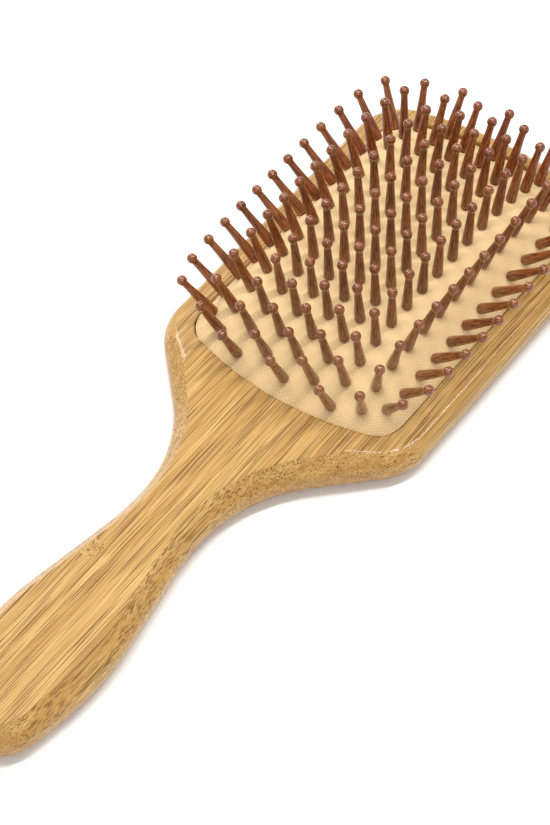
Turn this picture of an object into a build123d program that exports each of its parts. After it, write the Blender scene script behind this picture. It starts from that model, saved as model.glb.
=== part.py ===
from build123d import *
import math
import os

os.makedirs("parts", exist_ok=True)

# Paddle brush lying on its back, bristles up. Millimetres, +Z up, Y along the handle.
# Origin: bottom centre of the whole brush, on the flat back, midway along its length.

# --- brush body: one milled piece of bamboo ---
THICKNESS = 11.5            # back to flat front face
HEAD_Y = 60.2               # centre of the head and of the cushion
HEAD_PLANE = Plane((0, HEAD_Y, 0))
HEAD_HALF_WIDTH = 41.8
HEAD_END = 61.8             # head centre to far end
HEAD_ARCH_RADIUS = 130.0    # the far end is gently arched
HEAD_CORNER = 16.0
HANDLE_END = -182.2         # head centre to handle end
# corners of the shoulder, neck and handle: half width, distance from head centre, round
HANDLE_CORNERS = [
    (HEAD_HALF_WIDTH, -49.5, 18.0),
    (10.7, -80.6, 43.0),
    (10.7, -105.0, 70.0),
    (18.2, -148.0, 80.0),
    (12.9, HANDLE_END, 14.0),
]
FRONT_BEVEL = 4.1           # sloping side surface below the crisp front edge
SIDE_ROUND = 4.0            # softens that slope into the widest line
BACK_ROUND = 5.0            # edge round of the back
CREASE_X = 27.0             # beyond this the head face falls away to the sides
SIDE_FALL = math.tan(math.radians(9))
RIDGE_ROUND = 3.5           # softens the meeting of side fall and front bevel

# --- cushion ---
PAD_HALF_WIDTH = 33.4
PAD_HALF_LENGTH = 54.1
PAD_ARCH_RADIUS = 94.0      # both ends of the cushion are gently arched
PAD_CORNER = 9.2
PAD_RIM_Z = 10.4            # edge of the fabric
DOME_HEIGHT = 10.3          # crown above that edge
SIDE_POWER = 6.5            # flat crown, steep long sides
END_POWER = 3.8             # longer slope toward the ends
CORNER_POWER = 2.6          # how the two slopes blend at the corners
FABRIC = 0.6
RUBBER = 2.4
POCKET_GAP = 0.35           # dark line around the cushion
LEDGE_Z = 6.9               # ledge that carries the rubber rim
LEDGE_WIDTH = 3.2
CHAMBER_FLOOR_Z = 4.0       # floor of the air chamber
GLUE = 0.3
BOND_LINE = 0.08            # between fabric and rubber
DOME_STEP = 2.2             # spacing of the points that shape the dome
DOME_MARGIN = 1.6           # the shaping surface runs past the rim by this

# --- pins ---
COLUMN_PITCH = 7.76
ROW_PITCH = 7.13
LAST_ROW = 14
EDGE_INSET = 1.15           # outermost columns stand in from the even pitch
CORNER_INSET = 1.0          # and their end pins a little more
PIN_LENGTH = 13.9           # cushion surface to ball centre
BALL_RADIUS = 1.45
NECK_RADIUS = 0.98
BASE_RADIUS = 1.55
SHANK_RADIUS = 1.1
FOOT_RADIUS = 1.6
FOOT_HEIGHT = 0.9
FOOT_EDGE = 0.3
SHOULDER_EDGE = 0.35        # rounded lower edge of the pin
HOLE_PLAY = 0.12
SEAT_PLAY = 0.35            # room under the pin for its lean off the surface normal
SIDE_LEAN = 1.85            # outward lean at the long edges, as a slope
SIDE_LEAN_POWER = 4.5
SIDE_LEAN_FADE = 0.55       # share of that lean lost toward the ends
NEAR_LEAN = 0.55            # lean at the handle end of the cushion
FAR_LEAN = 0.82             # lean at its far end
END_LEAN_POWER = 2.35
NEAR_INSETS = {0: 0.9, 0.5: 0.5, 1: 0.6}  # first rows, drawn in from the handle end
END_ROWS = 3.0              # rows nearer than this to an end belong to the end zone
CORNER_ROWS = 2.0

PAD_STACK = FABRIC + RUBBER


def arch_drop(radius, half_width):
    return radius - math.sqrt(radius**2 - half_width**2)


def body_outline():
    """Outline of the whole brush at its widest level."""
    corner_y = HEAD_Y + HEAD_END - arch_drop(HEAD_ARCH_RADIUS, HEAD_HALF_WIDTH)
    right = [(HEAD_HALF_WIDTH, corner_y)]
    right += [(x, HEAD_Y + y) for x, y, _ in HANDLE_CORNERS]
    left = [(-x, y) for x, y in reversed(right)]
    with BuildSketch() as sketch:
        with BuildLine():
            Polyline(*right, *left)
            ThreePointArc(left[-1], (0, HEAD_Y + HEAD_END), right[0])
        make_face()
        for x, y, radius in HANDLE_CORNERS:
            fillet(corner_pair(sketch, x, HEAD_Y + y), radius)
        fillet(corner_pair(sketch, HEAD_HALF_WIDTH, corner_y), HEAD_CORNER)
    return sketch.sketch


def corner_pair(sketch, x, y):
    """The corner at (x, y) and its mirror image at (-x, y)."""
    found = sketch.vertices().filter_by(lambda v: abs(abs(v.X) - x) < 0.01)
    return found.filter_by(lambda v: abs(v.Y - y) < 0.01)


def pad_outline(grow=0.0):
    """Cushion outline about the head centre: straight sides, arched ends, round corners."""
    half_width = PAD_HALF_WIDTH + grow
    half_length = PAD_HALF_LENGTH + grow
    radius = PAD_ARCH_RADIUS + grow
    corner_y = half_length - arch_drop(radius, half_width)
    with BuildSketch() as sketch:
        with BuildLine():
            ThreePointArc((-half_width, corner_y), (0, half_length), (half_width, corner_y))
            Line((half_width, corner_y), (half_width, -corner_y))
            ThreePointArc((half_width, -corner_y), (0, -half_length), (-half_width, -corner_y))
            Line((-half_width, -corner_y), (-half_width, corner_y))
        make_face()
        fillet(sketch.vertices(), PAD_CORNER + grow)
    return sketch.sketch


def dome_share(x, y, shrink=0.0):
    """Height of the dome as a share of the crown: 1 in the middle, 0 on the rim."""
    half_width = PAD_HALF_WIDTH - shrink
    half_length = PAD_HALF_LENGTH - shrink - x * x / (2 * PAD_ARCH_RADIUS)
    across = abs(x / half_width) ** SIDE_POWER
    along = abs(y / half_length) ** END_POWER
    both = across**CORNER_POWER + along**CORNER_POWER
    return 1 - both ** (1 / CORNER_POWER)


def dome_z(x, y, shrink=0.0):
    return PAD_RIM_Z + (DOME_HEIGHT - shrink) * dome_share(x, y, shrink)


def dome_block(shrink):
    """Solid below the domed surface that lies the given depth under the fabric face."""
    reach_x = PAD_HALF_WIDTH + DOME_MARGIN
    reach_y = PAD_HALF_LENGTH + DOME_MARGIN
    count_x = round(2 * reach_x / DOME_STEP)
    count_y = round(2 * reach_y / DOME_STEP)
    grid = []
    for i in range(count_x + 1):
        x = -reach_x + 2 * reach_x * i / count_x
        column = []
        for j in range(count_y + 1):
            y = -reach_y + 2 * reach_y * j / count_y
            column.append(Vector(x, HEAD_Y + y, dome_z(x, y, shrink)))
        grid.append(column)
    skin = Face.make_surface_from_array_of_points(grid, tol=0.01, min_deg=3, max_deg=3)
    return extrude(skin, amount=3 * PAD_RIM_Z, dir=(0, 0, -1), mode=Mode.PRIVATE)


def pin_profile():
    """Half section of one pin; Z = 0 is the cushion surface."""
    foot_low = -PAD_STACK - FOOT_HEIGHT
    foot_top = -PAD_STACK
    ball_low = PIN_LENGTH - math.sqrt(BALL_RADIUS**2 - NECK_RADIUS**2)
    ball_top = PIN_LENGTH + BALL_RADIUS
    with BuildSketch(Plane.XZ) as sketch:
        with BuildLine():
            Polyline(
                (0, foot_low),
                (FOOT_RADIUS - FOOT_EDGE, foot_low),
                (FOOT_RADIUS, foot_low + FOOT_EDGE),
                (FOOT_RADIUS, foot_top - FOOT_EDGE),
                (SHANK_RADIUS, foot_top),
                (SHANK_RADIUS, SEAT_PLAY),
                (BASE_RADIUS - SHOULDER_EDGE, SEAT_PLAY),
            )
            RadiusArc(
                (BASE_RADIUS - SHOULDER_EDGE, SEAT_PLAY),
                (BASE_RADIUS, SEAT_PLAY + SHOULDER_EDGE),
                -SHOULDER_EDGE,
            )
            Spline(
                (BASE_RADIUS, SEAT_PLAY + SHOULDER_EDGE),
                (0.9 * BASE_RADIUS, 0.3 * PIN_LENGTH),
                (1.1 * NECK_RADIUS, 0.7 * PIN_LENGTH),
                (NECK_RADIUS, ball_low),
                tangents=[(0, 1), (0, 1)],
            )
            ThreePointArc((NECK_RADIUS, ball_low), (BALL_RADIUS, PIN_LENGTH), (0, ball_top))
            Line((0, ball_top), (0, foot_low))
        make_face()
    return sketch.sketch


def hole_profile():
    """Half section of the hole for one pin, with the seat of its foot."""
    foot_low = -2 * PAD_STACK
    foot_top = -PAD_STACK + HOLE_PLAY
    hole = SHANK_RADIUS + HOLE_PLAY
    seat = FOOT_RADIUS + HOLE_PLAY
    with BuildSketch(Plane.XZ) as sketch:
        with BuildLine():
            Polyline(
                (0, foot_low),
                (seat, foot_low),
                (seat, foot_top - FOOT_EDGE),
                (hole, foot_top),
                (hole, PAD_STACK),
                (0, PAD_STACK),
                close=True,
            )
        make_face()
    return sketch.sketch


def pin_x(column, row):
    """Sideways place of a pin; the outermost columns are drawn in."""
    inset = 0.0
    if abs(column) == 4:
        inset = EDGE_INSET
        if row in (1, LAST_ROW - 1):
            inset += CORNER_INSET
    return column * COLUMN_PITCH - math.copysign(inset, column)


def column_rows(column):
    """Odd columns stand half a row off the even ones; the outermost lose their end pins."""
    if column % 2:
        return [n + 0.5 for n in range(LAST_ROW)]
    if abs(column) == 4:
        return list(range(1, LAST_ROW))
    return list(range(LAST_ROW + 1))


def pin_y(row):
    """Distance of a row from the head centre, lengthways."""
    return (row - LAST_ROW / 2) * ROW_PITCH + NEAR_INSETS.get(row, 0.0)


def pin_lean(x, y):
    """Slopes by which a pin leans outward, sideways and lengthways."""
    across = abs(x) / PAD_HALF_WIDTH
    along = (abs(y) / PAD_HALF_LENGTH) ** END_LEAN_POWER
    sideways = SIDE_LEAN * across**SIDE_LEAN_POWER * (1 - SIDE_LEAN_FADE * along)
    lengthways = along * (FAR_LEAN if y > 0 else NEAR_LEAN)
    return math.copysign(sideways, x), math.copysign(lengthways, y)


def pin_location(column, row):
    """Foot of the pin on the cushion, Z axis along the pin."""
    x, y = pin_x(column, row), pin_y(row)
    axis = Vector(*pin_lean(x, y), 1)
    return Plane(origin=(x, HEAD_Y + y, dome_z(x, y)), z_dir=axis).location


def row_zone(column, row):
    """Which zone of the cushion the pin gives way with: its far, middle or near part."""
    limit = END_ROWS if abs(column) <= 2 else CORNER_ROWS
    if row < limit:
        return "near"
    if row > LAST_ROW - limit:
        return "far"
    return "mid"


def zone_locations(columns, zone):
    places = []
    for column in columns:
        for row in column_rows(column):
            if row_zone(column, row) == zone:
                places.append(pin_location(column, row))
    return places


def all_locations():
    places = []
    for column in range(-4, 5):
        for row in column_rows(column):
            places.append(pin_location(column, row))
    return places


def pin_set(name, columns, zone):
    """One set of pins that give way together."""
    with BuildPart() as pins:
        with Locations(*zone_locations(columns, zone)):
            add(pin_blank.part)
    pins.part.label = name
    export_step(pins.part, "parts/" + name + ".step")


with BuildPart() as brush_body:
    add(body_outline())
    extrude(amount=THICKNESS)
    chamfer(brush_body.faces().sort_by(Axis.Z)[-1].edges(), FRONT_BEVEL)
    widest_z = THICKNESS - FRONT_BEVEL
    fillet(brush_body.edges().filter_by_position(Axis.Z, widest_z - 0.01, widest_z + 0.01), SIDE_ROUND)
    fillet(brush_body.faces().sort_by(Axis.Z)[0].edges(), BACK_ROUND)
    # the head face falls away to both long sides
    fall = HEAD_HALF_WIDTH * SIDE_FALL
    with BuildSketch(Plane.XZ.offset(-HEAD_Y - 2 * HEAD_END)):
        for side in (-1, 1):
            with BuildLine():
                Polyline(
                    (side * CREASE_X, THICKNESS),
                    (side * (CREASE_X + HEAD_HALF_WIDTH), THICKNESS - fall),
                    (side * (CREASE_X + HEAD_HALF_WIDTH), 2 * THICKNESS),
                    (side * CREASE_X, 2 * THICKNESS),
                    close=True,
                )
            make_face()
    extrude(amount=3 * HEAD_END, mode=Mode.SUBTRACT)
    ridge_x = (HEAD_HALF_WIDTH - FRONT_BEVEL - CREASE_X * SIDE_FALL) / (1 - SIDE_FALL)
    ridges = brush_body.edges().filter_by(GeomType.LINE).filter_by(Axis.Y)
    fillet(ridges.filter_by(lambda e: abs(abs(e.center().X) - ridge_x) < 0.1), RIDGE_ROUND)
    # pocket for the cushion, with a ledge for its rim and the air chamber below
    with BuildSketch(HEAD_PLANE.offset(LEDGE_Z)):
        add(pad_outline(POCKET_GAP))
    extrude(amount=THICKNESS, mode=Mode.SUBTRACT)
    with BuildSketch(HEAD_PLANE.offset(CHAMBER_FLOOR_Z)):
        add(pad_outline(-LEDGE_WIDTH))
    extrude(amount=THICKNESS, mode=Mode.SUBTRACT)
brush_body.part.label = "brush_body"
export_step(brush_body.part, "parts/brush_body.step")

with BuildPart() as glue_bead:
    with BuildSketch(HEAD_PLANE.offset(LEDGE_Z)):
        add(pad_outline(-GLUE))
        add(pad_outline(GLUE - PAD_STACK), mode=Mode.SUBTRACT)
    extrude(amount=GLUE)
glue_bead.part.label = "glue_bead"
export_step(glue_bead.part, "parts/glue_bead.step")

with BuildPart() as pin_blank:
    add(pin_profile())
    revolve(axis=Axis.Z)

with BuildPart() as hole_blank:
    add(hole_profile())
    revolve(axis=Axis.Z)

with BuildPart() as cushion_cavity:
    with BuildSketch(HEAD_PLANE.offset(LEDGE_Z)):
        add(pad_outline(-PAD_STACK))
    extrude(amount=3 * DOME_HEIGHT)
    add(dome_block(PAD_STACK), mode=Mode.INTERSECT)

with BuildPart() as cushion_rubber:
    with BuildSketch(HEAD_PLANE.offset(LEDGE_Z + GLUE)):
        add(pad_outline())
    extrude(amount=3 * DOME_HEIGHT)
    add(dome_block(FABRIC + BOND_LINE), mode=Mode.INTERSECT)
    add(cushion_cavity.part, mode=Mode.SUBTRACT)
    with Locations(*all_locations()):
        add(hole_blank.part, mode=Mode.SUBTRACT)
cushion_rubber.part.label = "cushion_rubber"
export_step(cushion_rubber.part, "parts/cushion_rubber.step")

with BuildPart() as cushion_fabric:
    with BuildSketch(HEAD_PLANE.offset(LEDGE_Z + GLUE)):
        add(pad_outline())
    extrude(amount=3 * DOME_HEIGHT)
    add(dome_block(0), mode=Mode.INTERSECT)
    add(dome_block(FABRIC), mode=Mode.SUBTRACT)
    with Locations(*all_locations()):
        add(hole_blank.part, mode=Mode.SUBTRACT)
cushion_fabric.part.label = "cushion_fabric"
export_step(cushion_fabric.part, "parts/cushion_fabric.step")

for number, column in enumerate(range(-2, 3), start=1):
    pin_set(f"pins_crown_{number}", [column], "mid")
    pin_set(f"pins_near_{number}", [column], "near")
    pin_set(f"pins_far_{number}", [column], "far")
for side, sign in (("left", -1), ("right", 1)):
    pin_set(f"pins_{side}_inner", [3 * sign], "mid")
    pin_set(f"pins_{side}_outer", [4 * sign], "mid")
    pin_set(f"pins_near_{side}", [3 * sign, 4 * sign], "near")
    pin_set(f"pins_far_{side}", [3 * sign, 4 * sign], "far")
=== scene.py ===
import math

import bmesh
import bpy
import numpy as np
from mathutils import Matrix, Vector


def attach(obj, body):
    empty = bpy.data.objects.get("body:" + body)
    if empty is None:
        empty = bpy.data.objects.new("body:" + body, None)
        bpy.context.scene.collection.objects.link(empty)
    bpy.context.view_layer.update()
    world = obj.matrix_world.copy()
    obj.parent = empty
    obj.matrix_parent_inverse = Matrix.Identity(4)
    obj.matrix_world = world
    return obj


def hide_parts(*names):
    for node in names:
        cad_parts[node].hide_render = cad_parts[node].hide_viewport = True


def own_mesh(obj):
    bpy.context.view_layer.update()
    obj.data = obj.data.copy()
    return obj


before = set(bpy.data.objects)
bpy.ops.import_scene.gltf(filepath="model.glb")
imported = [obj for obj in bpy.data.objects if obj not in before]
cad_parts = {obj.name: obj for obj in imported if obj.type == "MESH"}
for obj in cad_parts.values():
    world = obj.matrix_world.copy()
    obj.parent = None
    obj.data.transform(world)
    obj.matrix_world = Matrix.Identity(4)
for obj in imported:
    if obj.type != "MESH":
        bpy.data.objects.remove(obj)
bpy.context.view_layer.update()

# The paddle brush lies on its back, bristles up, handle along Y. Sizes are in millimetres here
# and in metres in the scene.
MM = 0.001

# --- cushion: straight sides, arched ends, a domed top that all the pins stand on ---
HEAD_Y = 60.2
PAD_HALF_WIDTH = 33.4
PAD_HALF_LENGTH = 54.1
PAD_ARCH_RADIUS = 94.0
PAD_CORNER = 9.2
PAD_RIM_Z = 10.4
PAD_FOOT_Z = 7.2            # lower edge of the cushion, on its glue bead
DOME_HEIGHT = 10.3
SIDE_POWER = 6.5
END_POWER = 3.8
CORNER_POWER = 2.6
FABRIC = 0.6
RUBBER = 2.4

# --- pins ---
COLUMN_PITCH = 7.76
ROW_PITCH = 7.13
LAST_ROW = 14
EDGE_INSET = 1.15
CORNER_INSET = 1.0
PIN_LENGTH = 13.9           # cushion surface to ball centre
BALL_RADIUS = 1.45
NECK_RADIUS = 0.98
BASE_RADIUS = 1.55
BASE_EDGE = 0.45
SHANK_RADIUS = 1.1
FOOT_RADIUS = 1.6
FOOT_HEIGHT = 0.9
SIDE_LEAN = 1.85            # outward lean at the long edges, as a slope
SIDE_LEAN_POWER = 4.5
SIDE_LEAN_FADE = 0.55       # share of that lean lost toward the ends
NEAR_LEAN = 0.55            # lean at the handle end of the cushion
FAR_LEAN = 0.82             # lean at its far end
END_LEAN_POWER = 2.35
NEAR_INSETS = {0: 0.9, 0.5: 0.5, 1: 0.6}  # first rows, drawn in from the handle end
PIN_SIDES = 28


# ---------------------------------------------------------------- cushion shape

def dome_share(x, y):
    """Height of the dome as a share of its crown, about the head centre."""
    half_length = PAD_HALF_LENGTH - x * x / (2 * PAD_ARCH_RADIUS)
    across = np.abs(x / PAD_HALF_WIDTH) ** SIDE_POWER
    along = np.abs(y / half_length) ** END_POWER
    return 1 - (across**CORNER_POWER + along**CORNER_POWER) ** (1 / CORNER_POWER)


def dome_z(x, y):
    return PAD_RIM_Z + DOME_HEIGHT * np.maximum(dome_share(x, y), 0.0)


def dome_normal(x, y):
    step = 0.1
    slope_x = (dome_z(x + step, y) - dome_z(x - step, y)) / (2 * step)
    slope_y = (dome_z(x, y + step) - dome_z(x, y - step)) / (2 * step)
    normal = np.stack([-slope_x, -slope_y, np.ones_like(slope_x)], axis=-1)
    return normal / np.linalg.norm(normal, axis=-1, keepdims=True)


def arc_points(centre, radius, start, end, count):
    """Points on an arc, angles in degrees, the last one left out."""
    angles = np.radians(np.linspace(start, end, count, endpoint=False))
    return np.stack([centre[0] + radius * np.cos(angles), centre[1] + radius * np.sin(angles)], axis=1)


def pad_outline(count):
    """Cushion outline about the head centre, as evenly spaced points, anticlockwise."""
    inner = PAD_ARCH_RADIUS - PAD_CORNER
    corner_x = PAD_HALF_WIDTH - PAD_CORNER
    arch_centre_y = PAD_HALF_LENGTH - PAD_ARCH_RADIUS
    corner_y = arch_centre_y + math.sqrt(inner**2 - corner_x**2)
    tilt = math.degrees(math.asin(corner_x / inner))
    quarter = np.concatenate([
        arc_points((corner_x, corner_y), PAD_CORNER, 0, 90 - tilt, 40),
        arc_points((0, arch_centre_y), PAD_ARCH_RADIUS, 90 - tilt, 90, 60),
    ])
    mirrored = [quarter, quarter[::-1] * (-1, 1), quarter * (-1, -1), quarter[::-1] * (1, -1)]
    line = np.concatenate(mirrored)
    line = np.concatenate([line, line[:1]])
    along = np.concatenate([[0], np.cumsum(np.linalg.norm(np.diff(line, axis=0), axis=1))])
    even = np.linspace(0, along[-1], count, endpoint=False)
    return np.stack([np.interp(even, along, line[:, k]) for k in range(2)], axis=1)


def mesh_object(name, points, faces, smooth=True):
    """A mesh from points in millimetres, linked into the scene."""
    mesh = bpy.data.meshes.new(name)
    mesh.from_pydata((np.asarray(points) * MM).tolist(), [], faces)
    mesh.polygons.foreach_set("use_smooth", [smooth] * len(mesh.polygons))
    mesh.update()
    made = bpy.data.objects.new(name, mesh)
    bpy.context.scene.collection.objects.link(made)
    return made


def ring_faces(first, second, count):
    """Quads between two closed rings of points, given the index of each ring's first point."""
    turn = np.arange(count)
    onward = (turn + 1) % count
    quads = np.stack([first + turn, first + onward, second + onward, second + turn], axis=1)
    return quads.tolist()


# ---------------------------------------------------------------- pins

def pin_x(column, row):
    inset = 0.0
    if abs(column) == 4:
        inset = EDGE_INSET + (CORNER_INSET if row in (1, LAST_ROW - 1) else 0.0)
    return column * COLUMN_PITCH - math.copysign(inset, column)


def column_rows(column):
    if column % 2:
        return [n + 0.5 for n in range(LAST_ROW)]
    if abs(column) == 4:
        return list(range(1, LAST_ROW))
    return list(range(LAST_ROW + 1))


def row_zone(column, row):
    limit = 3.0 if abs(column) <= 2 else 2.0
    if row < limit:
        return "near"
    return "far" if row > LAST_ROW - limit else "mid"


def pin_y(row):
    """Distance of a row from the head centre, lengthways."""
    return (row - LAST_ROW / 2) * ROW_PITCH + NEAR_INSETS.get(row, 0.0)


def pin_places(columns, zones=("near", "mid", "far")):
    """(x, y) of each pin of those columns and zones, about the head centre."""
    return [
        (pin_x(column, row), pin_y(row))
        for column in columns
        for row in column_rows(column)
        if row_zone(column, row) in zones
    ]


ALL_PINS = np.array(pin_places(range(-4, 5)))


def pin_axis(x, y):
    """Direction of a pin: the sides splay more than the ends."""
    along = (abs(y) / PAD_HALF_LENGTH) ** END_LEAN_POWER
    across = (abs(x) / PAD_HALF_WIDTH) ** SIDE_LEAN_POWER
    sideways = SIDE_LEAN * across * (1 - SIDE_LEAN_FADE * along)
    lengthways = along * (FAR_LEAN if y > 0 else NEAR_LEAN)
    return Vector((math.copysign(sideways, x), math.copysign(lengthways, y), 1.0)).normalized()


def pin_profile():
    """(radius, height) from the hidden foot up to the top of the ball; height 0 is the fabric."""
    stack = FABRIC + RUBBER
    foot = [(0, -stack - FOOT_HEIGHT), (FOOT_RADIUS - 0.3, -stack - FOOT_HEIGHT),
            (FOOT_RADIUS, -stack - FOOT_HEIGHT + 0.3), (FOOT_RADIUS, -stack - 0.3),
            (SHANK_RADIUS, -stack), (SHANK_RADIUS, -0.1)]
    edge = [
        (BASE_RADIUS - BASE_EDGE * (1 - math.sin(a)), BASE_EDGE * (1 - math.cos(a)) - 0.1)
        for a in np.radians(np.linspace(0, 90, 6))
    ]
    join = math.acos(NECK_RADIUS / BALL_RADIUS)
    ball_low = PIN_LENGTH - BALL_RADIUS * math.sin(join)
    waist = []
    for t in np.linspace(0, 1, 18)[1:-1]:
        fall = t * t * (3 - 2 * t)
        radius = BASE_RADIUS + (NECK_RADIUS - BASE_RADIUS) * (0.35 * t + 0.65 * fall)
        waist.append((radius, edge[-1][1] + t * (ball_low - edge[-1][1])))
    ball = [
        (BALL_RADIUS * math.cos(a), PIN_LENGTH + BALL_RADIUS * math.sin(a))
        for a in np.linspace(-join, math.pi / 2, 16)
    ]
    return foot + edge + waist + ball


def pins_piece(name, node, body, places, rng):
    """All pins of one CAD node, each with its own lumps, grain and tone."""
    profile = np.array(pin_profile())
    points, faces, grain, tone = [], [], [], []
    turn = 2 * math.pi * np.arange(PIN_SIDES) / PIN_SIDES
    for x, y in places:
        first = len(points)
        lumps = 1 + 0.012 * np.sin(turn[None, :] * 2 + profile[:, 1:] * 0.4 + rng.uniform(0, 6.3))
        radius = profile[:, :1] * lumps
        height = np.broadcast_to(profile[:, 1:], radius.shape)
        local = np.stack([radius * np.cos(turn), radius * np.sin(turn), height], axis=2)
        local = local.reshape(-1, 3)
        spin = pin_axis(x, y).to_track_quat("Z", "Y").to_matrix()
        origin = np.array([x, HEAD_Y + y, float(dome_z(np.array(x), np.array(y)))])
        points.extend(local @ np.array(spin).T + origin)
        for ring in range(len(profile) - 1):
            faces.extend(ring_faces(first + ring * PIN_SIDES, first + (ring + 1) * PIN_SIDES, PIN_SIDES))
        grain.extend(local + rng.uniform(0, 200, 3))
        tone.extend([rng.uniform()] * len(local))
    piece = mesh_object(name, points, faces)
    lines = piece.data.attributes.new("grain", "FLOAT_VECTOR", "POINT")
    lines.data.foreach_set("vector", np.array(grain, np.float32).ravel())
    tones = piece.data.attributes.new("tone", "FLOAT", "POINT")
    tones.data.foreach_set("value", np.array(tone, np.float32))
    close_ends(piece)
    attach(piece, body)
    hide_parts(node)
    return piece


def close_ends(piece):
    """Joins the points at each pin's two poles, where its rings have no size."""
    work = bmesh.new()
    work.from_mesh(piece.data)
    bmesh.ops.remove_doubles(work, verts=work.verts, dist=0.004 * MM)
    bmesh.ops.dissolve_degenerate(work, edges=work.edges, dist=0.002 * MM)
    work.to_mesh(piece.data)
    work.free()


def all_pins(material):
    rng = np.random.default_rng(7)
    rows = []
    for number, column in enumerate(range(-2, 3), start=1):
        rows.append((f"pins_crown_{number}", "crown_pins", [column], "mid"))
        rows.append((f"pins_near_{number}", "near_pins", [column], "near"))
        rows.append((f"pins_far_{number}", "far_pins", [column], "far"))
    for side, sign in (("left", -1), ("right", 1)):
        rows.append((f"pins_{side}_inner", f"{side}_pins", [3 * sign], "mid"))
        rows.append((f"pins_{side}_outer", f"{side}_pins", [4 * sign], "mid"))
        rows.append((f"pins_near_{side}", f"near_{side}_pins", [3 * sign, 4 * sign], "near"))
        rows.append((f"pins_far_{side}", f"far_{side}_pins", [3 * sign, 4 * sign], "far"))
    for node, body, columns, zone in rows:
        piece = pins_piece("turned_" + node, node, body, pin_places(columns, [zone]), rng)
        piece.data.materials.append(material)


# ---------------------------------------------------------------- cushion

DIMPLE_DEPTH = 0.4          # how far each pin draws the fabric down
DIMPLE_RADIUS = 2.1


def pin_distance(x, y):
    """Distance in plan from each point to the nearest pin."""
    apart = np.hypot(x[:, None] - ALL_PINS[None, :, 0], y[:, None] - ALL_PINS[None, :, 1])
    return apart.min(axis=1)


def shell_rings(depth, around, across):
    """Rings of points from the crown to the rim, that depth under the fabric's face."""
    outline = pad_outline(around)
    shares = np.sin(np.linspace(0, 1, across + 1)[1:] * math.pi / 2) ** 0.9
    rings = []
    for share in shares:
        x, y = (outline * share).T
        normal = dome_normal(x, y)
        dimple = DIMPLE_DEPTH * np.exp(-(pin_distance(x, y) / DIMPLE_RADIUS) ** 2)
        z = dome_z(x, y) - dimple
        point = np.stack([x, y, z], axis=1)
        rings.append(point - depth * normal)
    return outline, rings


def weave_map(x, y):
    """Place on the flat cloth of each point of the dome, by the length of thread out to it."""
    steps = np.linspace(0, 1, 33)[None, :]
    delta = 0.05

    def run(limit, line):
        at = limit[:, None] * (steps[:, 1:] + steps[:, :-1]) / 2
        slope = line(at)
        return limit * np.sqrt(1 + slope**2).mean(axis=1)

    def slope_x(at):
        side = np.broadcast_to(y[:, None], at.shape)
        return (dome_z(at + delta, side) - dome_z(at - delta, side)) / (2 * delta)

    def slope_y(at):
        side = np.broadcast_to(x[:, None], at.shape)
        return (dome_z(side, at + delta) - dome_z(side, at - delta)) / (2 * delta)

    return run(x, slope_x), run(y, slope_y)


def cushion_shell(name, outer, inner, around, across):
    """A closed domed shell between two depths, with a wall that turns down into the pocket."""
    outline, top = shell_rings(outer, around, across)
    _, under = shell_rings(inner, around, across)
    centre_top = np.array([0.0, 0.0, PAD_RIM_Z + DOME_HEIGHT - outer])
    centre_under = np.array([0.0, 0.0, PAD_RIM_Z + DOME_HEIGHT - inner])
    rings = [*top]
    lean = outline / np.linalg.norm(outline, axis=1, keepdims=True)
    rim = top[-1]
    for low, draw_in in ((0.35, 0.0), (1.2, 0.05), (PAD_RIM_Z - PAD_FOOT_Z, 0.1)):
        wall = rim.copy()
        wall[:, :2] = outline - lean * (outer + draw_in)
        wall[:, 2] = np.minimum(rim[:, 2], PAD_RIM_Z) - low
        rings.append(wall)
    foot = rings[-1].copy()
    foot[:, :2] = outline - lean * inner
    rings.append(foot)
    inside = [ring.copy() for ring in reversed(under)]
    inside[0][:, :2] = outline - lean * inner
    for ring in inside:
        ring[:, 2] = np.maximum(ring[:, 2], PAD_FOOT_Z + 0.2)
    rings += inside
    points = np.concatenate([centre_top[None], *rings, centre_under[None]])
    faces = []
    for k in range(len(rings) - 1):
        faces.extend(ring_faces(1 + (k + 1) * around, 1 + k * around, around))
    last = 1 + (len(rings) - 1) * around
    for k in range(around):
        onward = (k + 1) % around
        faces.append([0, 1 + k, 1 + onward])
        faces.append([len(points) - 1, last + onward, last + k])
    return mesh_object(name, points + (0, HEAD_Y, 0), faces)


# ---------------------------------------------------------------- materials

def paint(red, green, blue):
    """An sRGB colour, 0 to 255, as the linear RGBA that a shader takes."""
    channels = [value / 255 for value in (red, green, blue)]
    return tuple(c / 12.92 if c <= 0.04045 else ((c + 0.055) / 1.055) ** 2.4 for c in channels) + (1.0,)


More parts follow.
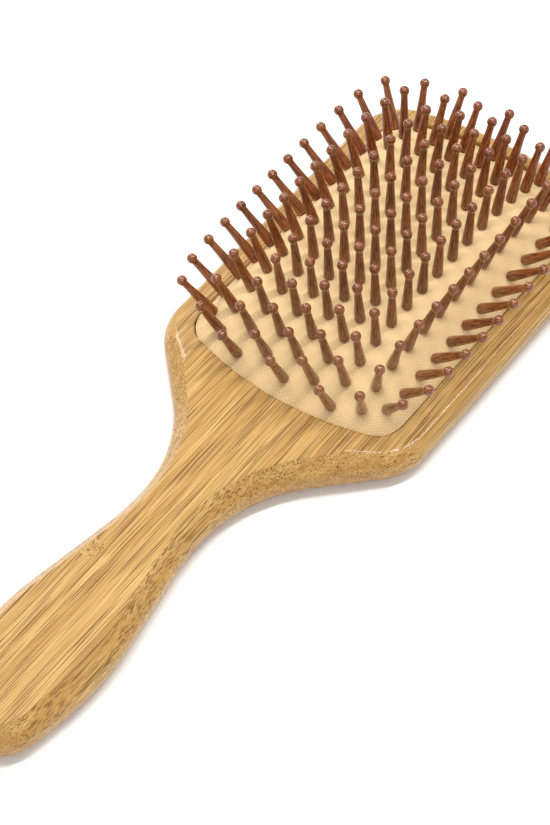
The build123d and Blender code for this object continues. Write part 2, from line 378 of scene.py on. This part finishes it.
class Shader:
    """A material and short names for the nodes it is built from."""

    def __init__(self, name):
        self.material = bpy.data.materials.new(name)
        self.material.use_nodes = True
        self.tree = self.material.node_tree
        self.surface = self.tree.nodes["Principled BSDF"]

    def feed(self, socket, value):
        if isinstance(value, bpy.types.NodeSocket):
            self.tree.links.new(value, socket)
        elif value is not None:
            socket.default_value = value

    def set(self, **inputs):
        for key, value in inputs.items():
            self.feed(self.surface.inputs[key.replace("_", " ")], value)

    def place(self):
        return self.tree.nodes.new("ShaderNodeTexCoord").outputs["Object"]

    def attribute(self, name, output="Vector"):
        made = self.tree.nodes.new("ShaderNodeAttribute")
        made.attribute_name = name
        return made.outputs[output]

    def vector(self, operation, a, b=None, scale=None, output=0):
        made = self.tree.nodes.new("ShaderNodeVectorMath")
        made.operation = operation
        self.feed(made.inputs[0], a)
        self.feed(made.inputs[1], b)
        if scale is not None:
            self.feed(made.inputs["Scale"], scale)
        return made.outputs[output]

    def value(self, operation, a, b=None, c=None, clamp=False):
        made = self.tree.nodes.new("ShaderNodeMath")
        made.operation = operation
        made.use_clamp = clamp
        for socket, given in zip(made.inputs, (a, b, c)):
            self.feed(socket, given)
        return made.outputs[0]

    def split(self, vector):
        made = self.tree.nodes.new("ShaderNodeSeparateXYZ")
        self.feed(made.inputs[0], vector)
        return made.outputs

    def noise(self, vector, scale=1.0, detail=2.0, rough=0.5, output="Fac"):
        made = self.tree.nodes.new("ShaderNodeTexNoise")
        self.feed(made.inputs["Vector"], vector)
        self.feed(made.inputs["Scale"], scale)
        self.feed(made.inputs["Detail"], detail)
        self.feed(made.inputs["Roughness"], rough)
        return made.outputs[output]

    def cells(self, vector, scale=1.0, output="Distance"):
        made = self.tree.nodes.new("ShaderNodeTexVoronoi")
        self.feed(made.inputs["Vector"], vector)
        self.feed(made.inputs["Scale"], scale)
        return made.outputs[output]

    def remap(self, value, low, high, to_low=0.0, to_high=1.0):
        made = self.tree.nodes.new("ShaderNodeMapRange")
        made.interpolation_type = "SMOOTHSTEP"
        for socket, given in zip(made.inputs, (value, low, high, to_low, to_high)):
            self.feed(socket, given)
        return made.outputs[0]

    def mix(self, factor, a, b, blend="MIX"):
        made = self.tree.nodes.new("ShaderNodeMix")
        made.data_type = "RGBA"
        made.blend_type = blend
        self.feed(made.inputs[0], factor)
        self.feed(made.inputs[6], a)
        self.feed(made.inputs[7], b)
        return made.outputs[2]

    def bump(self, height, strength, distance, normal=None):
        made = self.tree.nodes.new("ShaderNodeBump")
        self.feed(made.inputs["Height"], height)
        self.feed(made.inputs["Strength"], strength)
        self.feed(made.inputs["Distance"], distance)
        self.feed(made.inputs["Normal"], normal)
        return made.outputs[0]

    def rounded(self, radius):
        made = self.tree.nodes.new("ShaderNodeBevel")
        made.samples = 6
        self.feed(made.inputs["Radius"], radius)
        return made.outputs[0]


KNUCKLE_Y = -60.5           # the bamboo's knuckle crosses one strip of the handle here
KNUCKLE_X = -9.0
COARSE_FIBRES = (2900.0, 36.0, 2900.0)  # fibre bundles per metre across, along and through
FINE_FIBRES = (3600.0, 60.0, 3600.0)


def bamboo_material():
    """Fibre bundles along Y: long streaks on the faces, dots where the sides cut across them."""
    s = Shader("bamboo")
    place = s.place()
    slow = s.vector("MULTIPLY", place, (70.0, 7.0, 70.0))
    sway = s.vector("SUBTRACT", s.noise(slow, detail=1.0, output="Color"), (0.5, 0.5, 0.5))
    place = s.vector("ADD", place, s.vector("MULTIPLY", sway, (0.0022, 0.0, 0.0022)))
    # the knuckle bends the fibres across a short length of one strip
    gap = s.vector("SUBTRACT", place, (KNUCKLE_X * MM, KNUCKLE_Y * MM, 11.5 * MM))
    gap = s.vector("MULTIPLY", gap, (1 / 4.4, 1 / 3.2, 1 / 9.0))
    knuckle = s.remap(s.vector("LENGTH", gap, output=1), 0.55 * MM, 1.1 * MM, 1.0, 0.0)
    swirl = s.vector("SUBTRACT", s.noise(place, 330.0, 2.0, output="Color"), (0.5, 0.5, 0.5))
    swirl = s.vector("SCALE", swirl, scale=s.value("MULTIPLY", knuckle, 0.011))
    fibres = s.vector("ADD", place, swirl)
    # how crowded the bundles are varies slowly across the board
    crowd = s.noise(s.vector("MULTIPLY", fibres, (260.0, 5.0, 260.0)), detail=2.0)
    coarse = s.cells(s.vector("MULTIPLY", fibres, COARSE_FIBRES))
    fine = s.cells(s.vector("MULTIPLY", fibres, FINE_FIBRES))
    reach = s.remap(crowd, 0.35, 0.62, 0.35, 0.43)
    bundles = s.remap(coarse, s.value("SUBTRACT", reach, 0.1), reach, 1.0, 0.0)
    threads = s.remap(fine, 0.2, 0.45, 1.0, 0.0)
    hair = s.noise(s.vector("MULTIPLY", fibres, (4200.0, 40.0, 4200.0)), detail=2.0, rough=0.6)
    band = s.noise(s.vector("MULTIPLY", fibres, (420.0, 6.0, 420.0)), detail=2.0)
    board = s.mix(s.remap(band, 0.32, 0.68), paint(212, 172, 104), paint(191, 147, 80))
    board = s.mix(s.remap(hair, 0.36, 0.64, 0.0, 0.4), board, paint(146, 102, 44))
    board = s.mix(s.value("MULTIPLY", threads, 0.4), board, paint(126, 82, 30))
    bundle_share = s.value("MULTIPLY", bundles, s.remap(crowd, 0.35, 0.6, 0.72, 0.86))
    board = s.mix(bundle_share, board, paint(104, 63, 20))
    # cut across, the wood is greener and darker
    normal = s.split(s.tree.nodes.new("ShaderNodeTexCoord").outputs["Normal"])
    cut = s.remap(s.value("ABSOLUTE", normal["Y"]), 0.05, 0.7)
    board = s.mix(s.value("MULTIPLY", cut, 0.25), board, paint(214, 190, 120), "MULTIPLY")
    spots = s.remap(s.cells(place, 900.0), 0.18, 0.32, 1.0, 0.0)
    spots = s.value("MULTIPLY", spots, s.remap(s.noise(place, 500.0), 0.46, 0.58))
    board = s.mix(s.value("MULTIPLY", spots, knuckle), board, paint(60, 32, 12))
    grooves = s.value("ADD", s.value("MULTIPLY", bundles, -0.6), s.value("MULTIPLY", hair, 0.6))
    s.set(
        Base_Color=board,
        Roughness=s.remap(hair, 0.3, 0.7, 0.4, 0.52),
        Specular_IOR_Level=0.2,
        Coat_Weight=0.45,
        Coat_Roughness=0.08,
        Normal=s.bump(grooves, 0.3, 0.05 * MM, s.rounded(1.1 * MM)),
    )
    return s.material


def pin_material():
    """Turned, stained and lacquered wood, its grain along each pin."""
    s = Shader("pin_wood")
    grain = s.attribute("grain")
    tone = s.attribute("tone", "Fac")
    streak = s.noise(s.vector("MULTIPLY", grain, (3.0, 3.0, 0.22)), detail=3.0, rough=0.62)
    pore = s.noise(s.vector("MULTIPLY", grain, (7.5, 7.5, 0.6)), detail=2.0)
    wood = s.mix(s.remap(streak, 0.36, 0.64), paint(170, 99, 46), paint(96, 50, 19))
    wood = s.mix(s.remap(pore, 0.48, 0.66, 0.0, 0.7), wood, paint(84, 38, 16))
    wood = s.mix(s.remap(tone, 0.0, 1.0, 0.0, 0.45), wood, paint(205, 155, 105), "MULTIPLY")
    s.set(
        Base_Color=wood,
        Roughness=0.55,
        Specular_IOR_Level=0.1,
        Coat_Weight=1.0,
        Coat_IOR=1.6,
        Coat_Roughness=0.04,
        Normal=s.bump(pore, 0.18, 0.04 * MM),
    )
    return s.material


WEAVE_PITCH = 0.5


def fabric_material():
    """Cream plain weave, each thread over and under its neighbours, with painted shade where the weave
    dips.
    """
    s = Shader("fabric")
    cloth = s.vector("MULTIPLY", s.attribute("weave"), (math.pi / WEAVE_PITCH,) * 3)
    slack = s.vector("SUBTRACT", s.noise(s.attribute("weave"), 0.35, 2.0, output="Color"), (0.5, 0.5, 0.5))
    cloth = s.vector("ADD", cloth, s.vector("SCALE", slack, scale=1.6))
    axes = s.split(cloth)
    warp = s.value("SINE", axes["X"])
    weft = s.value("SINE", axes["Y"])
    over = s.value("MULTIPLY", warp, weft)
    gaps = s.value("MULTIPLY", s.value("ABSOLUTE", warp), s.value("ABSOLUTE", weft))
    height = s.value("ADD", gaps, s.value("MULTIPLY", over, 0.6))
    fuzz = s.noise(s.attribute("weave"), 4.5, 3.0)
    # painted shade: the cloth is painted darker where the weave's height dips, between the threads and on
    # the lower crossing cells, and lighter on the thread crowns; the fuzz noise after it is the cloth's
    # own colour
    cream_and_weave_shade = s.mix(s.remap(gaps, 0.05, 0.55), paint(222, 178, 114), paint(252, 229, 184))
    cream_and_weave_shade = s.mix(s.remap(over, -0.5, 0.5, 0.65, 0.0), cream_and_weave_shade, paint(226, 188, 128))
    cream_and_weave_shade = s.mix(s.remap(fuzz, 0.3, 0.7, 0.0, 0.12), cream_and_weave_shade, paint(222, 186, 130))
    s.set(
        Base_Color=cream_and_weave_shade,
        Roughness=0.9,
        Normal=s.bump(height, 0.7, 0.16 * MM),
    )
    return s.material


def rubber_material():
    """Black rubber with a fine moulded skin."""
    s = Shader("rubber")
    skin = s.noise(s.place(), 2500.0, 3.0)
    tint = s.mix(s.noise(s.place(), 300.0, 2.0), paint(26, 24, 23), paint(40, 37, 35))
    s.set(Base_Color=tint, Roughness=0.7, Normal=s.bump(skin, 0.3, 0.05 * MM))
    return s.material


def glue_material():
    """Dried clear-amber glue, a little uneven."""
    s = Shader("glue")
    ripple = s.noise(s.place(), 700.0, 2.0)
    tint = s.mix(ripple, paint(150, 118, 66), paint(190, 160, 104))
    s.set(Base_Color=tint, Roughness=0.3, Normal=s.bump(ripple, 0.4, 0.1 * MM))
    return s.material


def floor_material():
    """Plain white studio paper with a trace of tooth."""
    s = Shader("paper")
    tooth = s.noise(s.place(), 900.0, 2.0)
    s.set(
        Base_Color=s.mix(tooth, paint(250, 250, 250), paint(253, 253, 253)),
        Roughness=0.9,
        Normal=s.bump(tooth, 0.03, 0.05 * MM),
    )
    return s.material


# ---------------------------------------------------------------- the object

def dress_cad_node(node, material):
    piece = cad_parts[node]
    piece.data.materials.clear()
    piece.data.materials.append(material)


def add_weave(piece):
    """Stores where each point lies on the flat cloth, in millimetres."""
    co = np.array([v.co for v in piece.data.vertices]) / MM
    along_x, along_y = weave_map(co[:, 0], np.clip(co[:, 1] - HEAD_Y, -PAD_HALF_LENGTH, PAD_HALF_LENGTH))
    drop = np.maximum(PAD_RIM_Z - co[:, 2], 0)
    flat = np.stack([along_x + np.sign(along_x) * drop, along_y, np.zeros(len(co))], axis=1)
    made = piece.data.attributes.new("weave", "FLOAT_VECTOR", "POINT")
    made.data.foreach_set("vector", flat.astype(np.float32).ravel())


def cushion(fabric_look, rubber_look):
    rubber = cushion_shell("rubber_cushion", FABRIC + 0.08, FABRIC + RUBBER, 320, 40)
    rubber.data.materials.append(rubber_look)
    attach(rubber, "brush")
    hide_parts("cushion_rubber")
    fabric = cushion_shell("fabric_cover", 0.0, FABRIC, 640, 80)
    add_weave(fabric)
    fabric.data.materials.append(fabric_look)
    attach(fabric, "brush")
    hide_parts("cushion_fabric")
    for piece in (rubber, fabric):
        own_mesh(piece)
    return fabric, rubber


WORLD_STRENGTH = 0.55
FLOOR_SIZE = 6.0
FLOOR_Z = -0.0001           # just clear of the brush's back
LIT_POINT = Vector((0.0, 0.02, 0.01))
STRIP_LINE = Vector((0.51, 0.86, 0.0))


def studio():
    """White floor and soft lights."""
    bpy.context.scene.view_settings.view_transform = "Standard"
    world = bpy.data.worlds.new("studio")
    bpy.context.scene.world = world
    world.use_nodes = True
    background = world.node_tree.nodes["Background"]
    background.inputs["Color"].default_value = (1.0, 1.0, 1.0, 1.0)
    background.inputs["Strength"].default_value = WORLD_STRENGTH

    bpy.ops.mesh.primitive_plane_add(size=FLOOR_SIZE, location=(0, 0, FLOOR_Z))
    floor = bpy.context.object
    floor.name = "floor"
    floor.data.materials.append(floor_material())

    add_light("key", (-0.84, 0.32, 0.8), (0.45, 0.45), 6.2)
    add_light("strip", (0.06, 0.17, 1.0), (0.1, 1.15), 8.0)
    add_light("spark", (0.5, -0.5, 0.9), (0.12, 0.12), 1.8)


def add_light(name, place, size, energy):
    """A soft light aimed at the head, its longer side along the strip of sky it stands in."""
    lamp = bpy.data.lights.new(name, "AREA")
    lamp.shape = "RECTANGLE"
    lamp.size, lamp.size_y = size
    lamp.energy = energy
    back = (Vector(place) - LIT_POINT).normalized()
    long_side = (STRIP_LINE - back * STRIP_LINE.dot(back)).normalized()
    turn = Matrix((long_side.cross(back), long_side, back)).transposed()
    holder = bpy.data.objects.new(name, lamp)
    holder.matrix_world = Matrix.Translation(place) @ turn.to_4x4()
    bpy.context.scene.collection.objects.link(holder)


CAMERA_PLACE = Vector((0.2873, -0.3513, 0.5884))
CAMERA_TARGET = Vector((0.0034, 0.0027, 0.010))
CAMERA_ROLL = -2.29
CAMERA_LENS = 120.8         # on the 36 mm long side of the frame


def camera():
    data = bpy.data.cameras.new("camera")
    data.lens = CAMERA_LENS
    data.sensor_width = 36.0
    holder = bpy.data.objects.new("camera", data)
    aim = (CAMERA_TARGET - CAMERA_PLACE).to_track_quat("-Z", "Y").to_matrix()
    roll = Matrix.Rotation(math.radians(CAMERA_ROLL), 3, "Z")
    holder.matrix_world = Matrix.Translation(CAMERA_PLACE) @ (aim @ roll).to_4x4()
    bpy.context.scene.collection.objects.link(holder)
    bpy.context.scene.camera = holder


dress_cad_node("brush_body", bamboo_material())
dress_cad_node("glue_bead", glue_material())
cover, backing = cushion(fabric_material(), rubber_material())
all_pins(pin_material())
studio()
camera()
